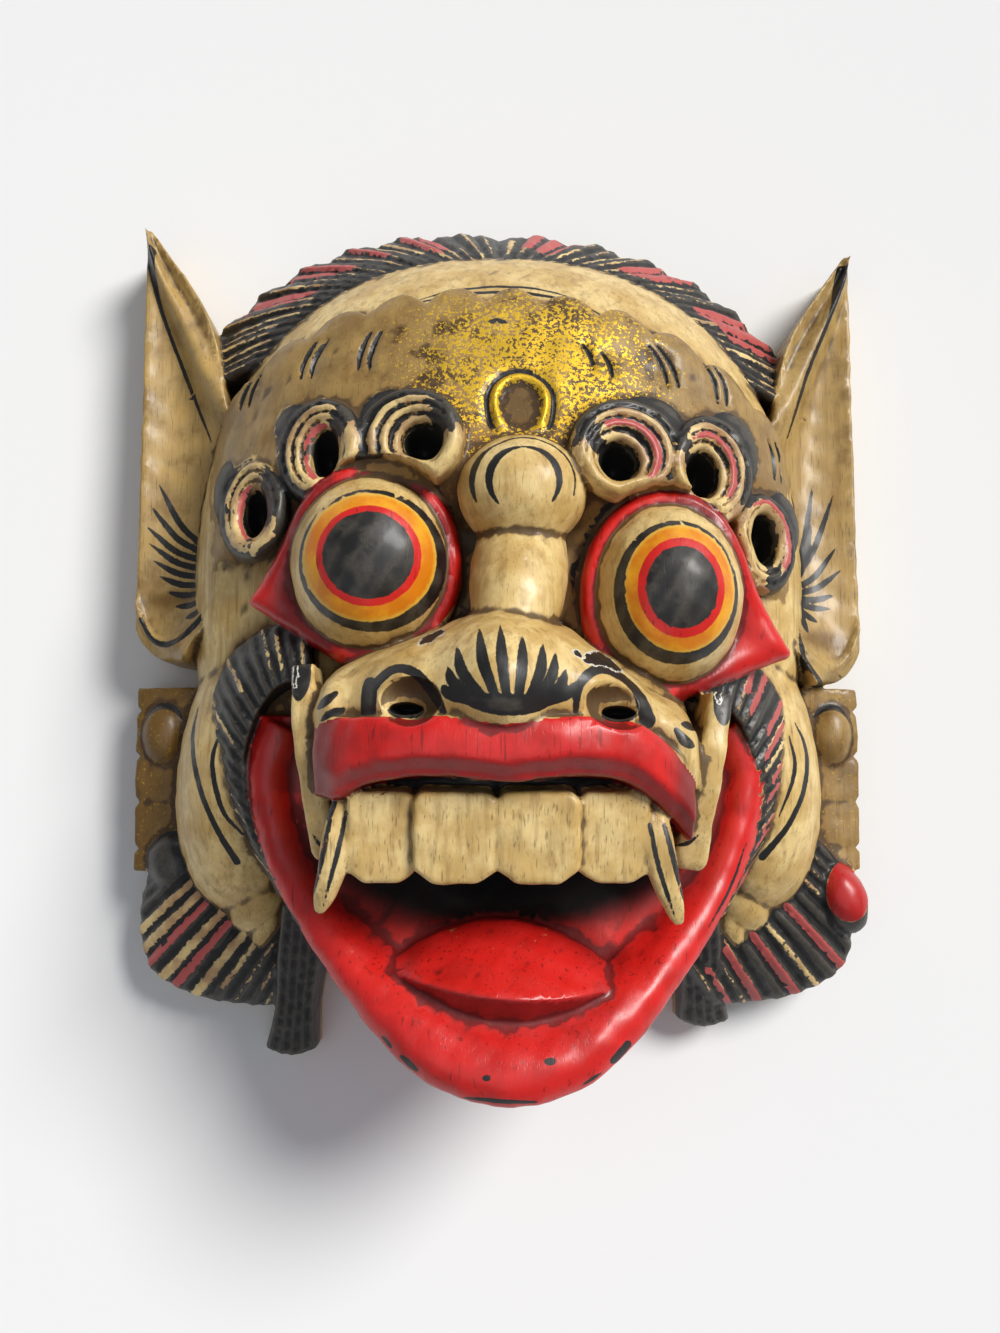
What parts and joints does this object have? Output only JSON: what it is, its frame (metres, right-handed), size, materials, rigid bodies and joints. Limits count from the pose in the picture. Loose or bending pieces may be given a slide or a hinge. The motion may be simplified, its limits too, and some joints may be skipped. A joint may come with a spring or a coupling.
{
  "type": "barong mask",
  "caption": "Carved and painted wooden barong mask: bulging eyes, curled brows, gilt diadem, pointed ears, open mouth with teeth, fangs and tongue, hollow behind.",
  "frame": {"origin": "middle of the mask's footprint on its flat back, which is the plane z = 0", "axes": "+Y from the chin to the hair over the forehead, +X to the viewer's right, +Z out of the face"},
  "size_m": [0.22, 0.256, 0.118],
  "materials": {
    "painted_wood": "satin"
  },
  "bodies": {
    "root": {"mask": "painted_wood"}
  },
  "joints": []
}
